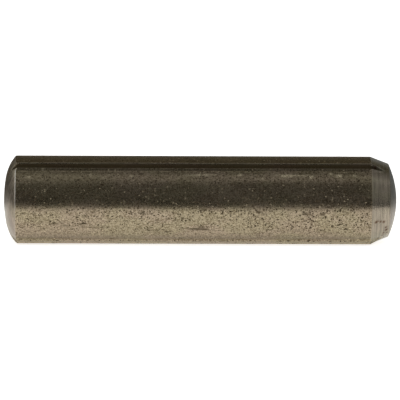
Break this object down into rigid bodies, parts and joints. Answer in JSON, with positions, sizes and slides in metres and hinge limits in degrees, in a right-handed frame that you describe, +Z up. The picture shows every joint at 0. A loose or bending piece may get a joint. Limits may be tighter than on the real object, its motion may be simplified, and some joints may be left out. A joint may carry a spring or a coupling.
{
  "type": "grooved pin",
  "caption": "Parallel grooved pin: a steel rod with lipped grooves pressed along its length, crowned ends and a lead chamfer. Driven into a drilled hole, its lips grip the wall.",
  "frame": {"origin": "on the pin's axis, at mid length over both crowned ends", "axes": "+X along the pin's axis towards the chamfered lead end, +Z up, with the pin lying on its side on the plain bar between two grooves"},
  "size_m": [0.045, 0.0102, 0.01],
  "materials": {
    "steel": "drawn bar, finely pitted, oiled"
  },
  "bodies": {
    "root": {"grooved_pin": "steel"}
  },
  "joints": []
}
